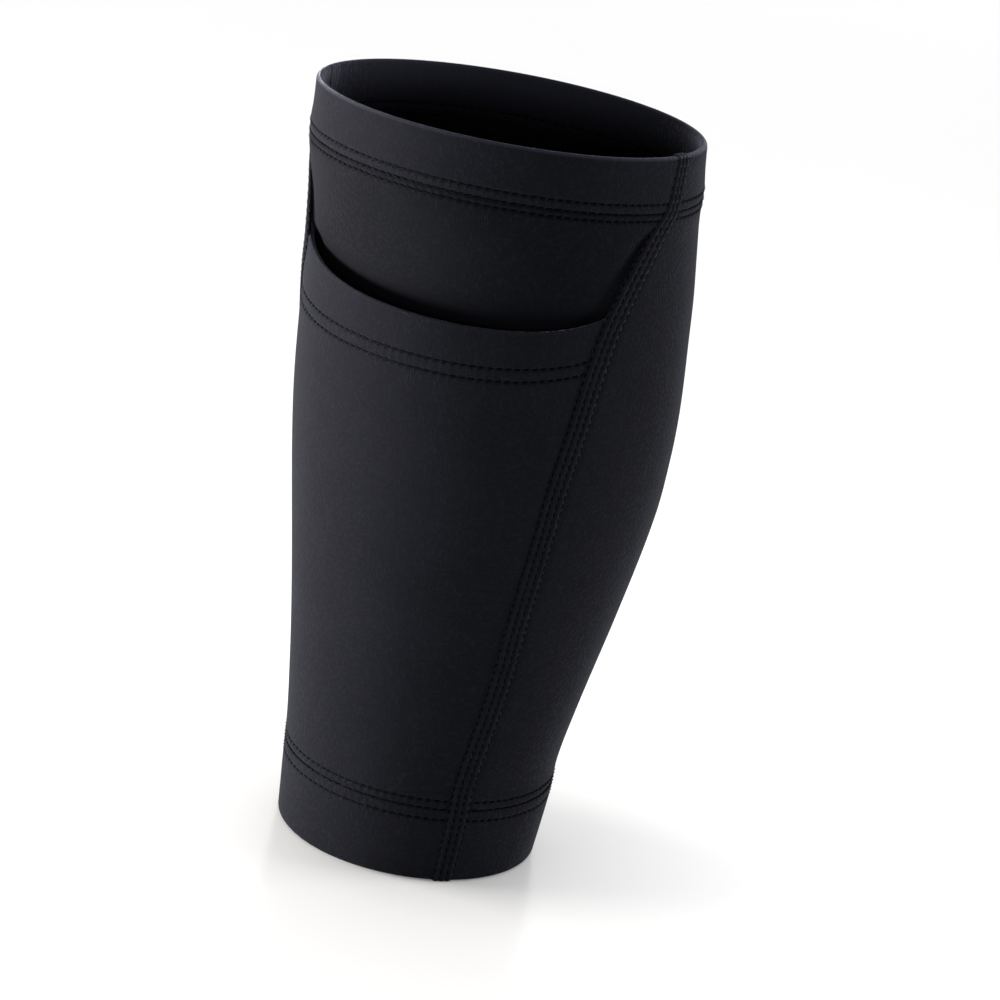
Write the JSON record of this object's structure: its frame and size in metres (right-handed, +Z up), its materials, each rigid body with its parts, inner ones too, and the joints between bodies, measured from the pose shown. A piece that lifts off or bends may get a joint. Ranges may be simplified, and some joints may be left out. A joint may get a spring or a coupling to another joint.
{
  "type": "shin guard sleeve",
  "caption": "Stretch-knit sleeve for the lower leg with a folded band at each end, raised flat seams and an open-topped pocket over the shin that holds a loose guard.",
  "frame": {"origin": "on the ground under the middle of the sleeve, which stands on its ankle edge", "axes": "+Z up the leg, -Y out of the shin, +X to the outer side of the leg"},
  "size_m": [0.1254, 0.1302, 0.24],
  "materials": {
    "knit": "matt black stretch knit",
    "seam_thread": "black sewing thread"
  },
  "bodies": {
    "root": {"shin_panel": "knit", "calf_panel": "knit", "guard_pocket": "knit", "top_band_shin": "knit", "top_band_calf": "knit", "ankle_band_shin": "knit", "ankle_band_calf": "knit", "outer_seam": "seam_thread", "inner_seam": "seam_thread"}
  },
  "joints": []
}
